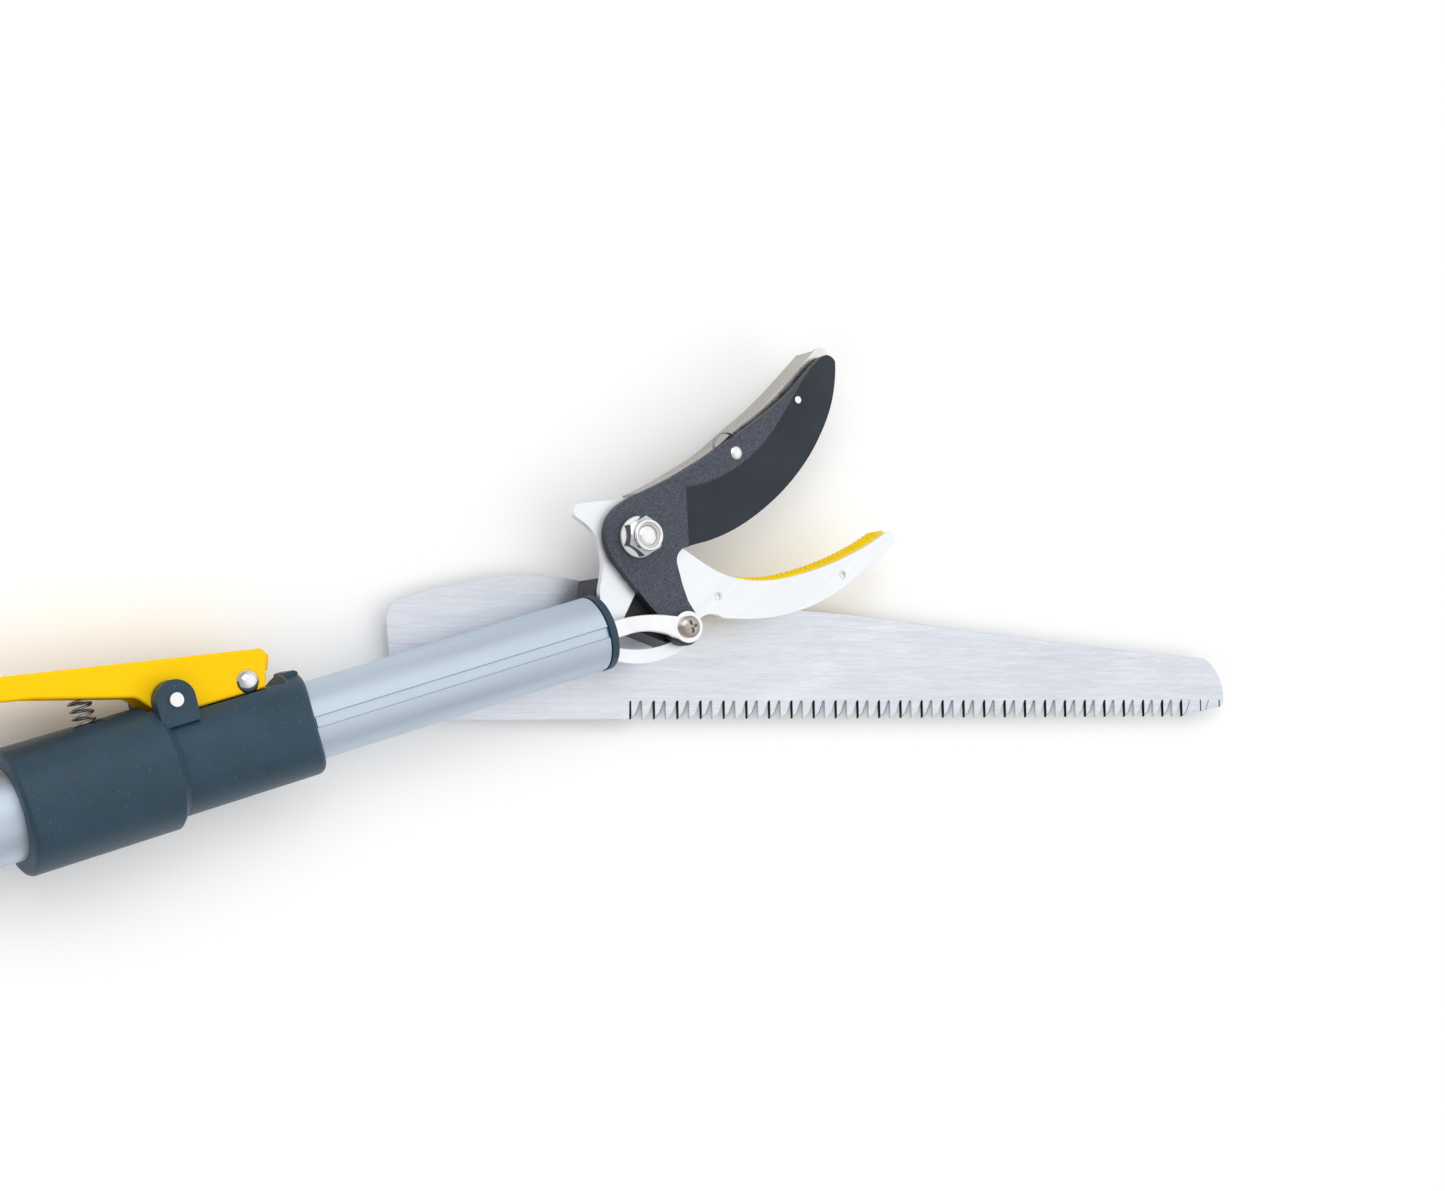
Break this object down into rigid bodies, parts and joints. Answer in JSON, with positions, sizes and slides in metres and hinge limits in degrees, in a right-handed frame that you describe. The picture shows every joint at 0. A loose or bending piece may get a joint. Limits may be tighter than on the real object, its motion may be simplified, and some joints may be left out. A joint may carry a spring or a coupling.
{
  "type": "telescoping pole saw",
  "caption": "Telescoping pole pruner: curved pull-cut saw and hooked bypass blade with holding strip at the head, lever clamp on the pole, pistol grip with trigger and hanging eye.",
  "frame": {"origin": "centre of the hanging eye's hole at the rear end, on the pole's axis", "axes": "+X along the pole towards the cutting head, +Y away from the saw's teeth, +Z out of the blade's face"},
  "size_m": [1.552, 0.2211, 0.044],
  "materials": {
    "satin_aluminium": "satin anodised",
    "plated_steel": "zinc plated",
    "saw_steel": "ground lengthwise",
    "plate_steel": "satin plated",
    "coated_blade_steel": "dark low-friction coating, ground face",
    "bright_chrome": "polished",
    "slate_plastic": "fine moulded texture",
    "dark_plastic": "moulded",
    "yellow_paint": "semi-gloss powder coat",
    "yellow_plastic": "moulded, ribbed",
    "white_plastic": "moulded",
    "grip_rubber": "soft, matt",
    "bronze": "sintered",
    "spring_steel": "drawn wire"
  },
  "bodies": {
    "handle_pole": {"outer_pole": "satin_aluminium", "collar": "slate_plastic", "lever_pin": "plated_steel", "lever_spring": "spring_steel", "handle_near": "slate_plastic", "handle_far": "slate_plastic", "housing_screws": "plated_steel", "trigger_pin": "plated_steel", "spring_seat": "dark_plastic", "return_spring": "spring_steel", "hanging_eye": "yellow_plastic", "grip_pad": "grip_rubber"},
    "lever": {"lock_lever": "yellow_paint", "shoe_pin": "bright_chrome"},
    "shoe": {"brake_shoe": "grip_rubber"},
    "trigger": {"trigger": "dark_plastic"},
    "lower_rod": {"lower_pull_rod": "spring_steel", "rod_end": "plated_steel", "rod_pin": "plated_steel", "spring_collar": "plated_steel"},
    "bail": {"lock_bail": "plated_steel"},
    "extension": {"inner_pole": "satin_aluminium", "inner_pole_bush": "white_plastic", "rod_guides": "white_plastic", "pole_end_cap": "slate_plastic", "plate_clamp_near": "dark_plastic", "plate_clamp_far": "dark_plastic", "head_plate": "plate_steel", "jaw_pad": "yellow_plastic", "jaw_rivets": "plated_steel", "pivot_bolt": "plated_steel", "pivot_washer": "plated_steel", "pivot_nut": "plated_steel", "nut_nylon_ring": "white_plastic", "saw_blade": "saw_steel", "saw_carrier": "dark_plastic", "saw_tang_bolts": "plated_steel", "saw_screws": "plated_steel", "pole_rivet_nut": "plated_steel"},
    "upper_rod": {"upper_pull_tube": "satin_aluminium", "rod_clutch": "white_plastic", "pull_clevis": "plated_steel", "clevis_pin": "plated_steel"},
    "cutter": {"blade": "coated_blade_steel", "pivot_bush": "bronze", "link_screw": "plated_steel", "holder_pin": "plated_steel", "holder_guide_pin": "plated_steel", "holder_spring": "spring_steel"},
    "link": {"drive_link": "plated_steel"},
    "holder_strip": {"holder": "plated_steel"}
  },
  "joints": [
    {"name": "pole_extend", "type": "slide", "parent": "handle_pole", "child": "extension", "axis": [1, 0, 0], "range_m": [0, 0.7]},
    {"name": "trigger_pull", "type": "hinge", "parent": "handle_pole", "child": "trigger", "pos_m": [0.122, 0.012, 0], "axis": [0, 0, 1], "range_deg": [-36, 0], "stiffness_Nm_per_rad": 0.8, "springref_deg": 14.32, "deforming": ["return_spring"]},
    {"name": "lower_rod_slide", "type": "slide", "parent": "handle_pole", "child": "lower_rod", "axis": [1, 0, 0], "range_m": [-0.0242, 0]},
    {"name": "upper_rod_slide", "type": "slide", "parent": "extension", "child": "upper_rod", "axis": [1, 0, 0], "range_m": [-0.0242, 0]},
    {"name": "blade_cut", "type": "hinge", "parent": "extension", "child": "cutter", "pos_m": [1.2746, 0.0302, 0], "axis": [0, 0, 1], "range_deg": [-36, 0]},
    {"name": "link_swing", "type": "hinge", "parent": "cutter", "child": "link", "pos_m": [1.2842, -0.0073, 0], "axis": [0, 0, 1], "range_deg": [0, 36]},
    {"name": "holder_swing", "type": "hinge", "parent": "cutter", "child": "holder_strip", "pos_m": [1.3254, 0.0505, 0], "axis": [0, 0, 1], "range_deg": [0, 4], "stiffness_Nm_per_rad": 0.3, "springref_deg": -20.05},
    {"name": "lever_press", "type": "hinge", "parent": "handle_pole", "child": "lever", "pos_m": [1.0837, 0.0215, 0], "axis": [0, 0, 1], "range_deg": [0, 10], "stiffness_Nm_per_rad": 0.6, "springref_deg": -20.05, "deforming": ["lever_spring"]},
    {"name": "shoe_align", "type": "hinge", "parent": "lever", "child": "shoe", "pos_m": [1.1122, 0.0203, 0], "axis": [0, 0, 1], "range_deg": [-10, 0]},
    {"name": "bail_swing", "type": "hinge", "parent": "handle_pole", "child": "bail", "pos_m": [0.05, -0.126, 0], "axis": [0, 0, 1], "range_deg": [0, 200]}
  ],
  "couplings": [
    {"joint": "lower_rod_slide", "follows": "trigger_pull", "m_per_rad": 0.03794},
    {"joint": "upper_rod_slide", "follows": "trigger_pull", "m_per_rad": 0.03794},
    {"joint": "blade_cut", "follows": "trigger_pull", "ratio": 1},
    {"joint": "link_swing", "follows": "trigger_pull", "ratio": -1},
    {"joint": "shoe_align", "follows": "lever_press", "ratio": -1}
  ]
}
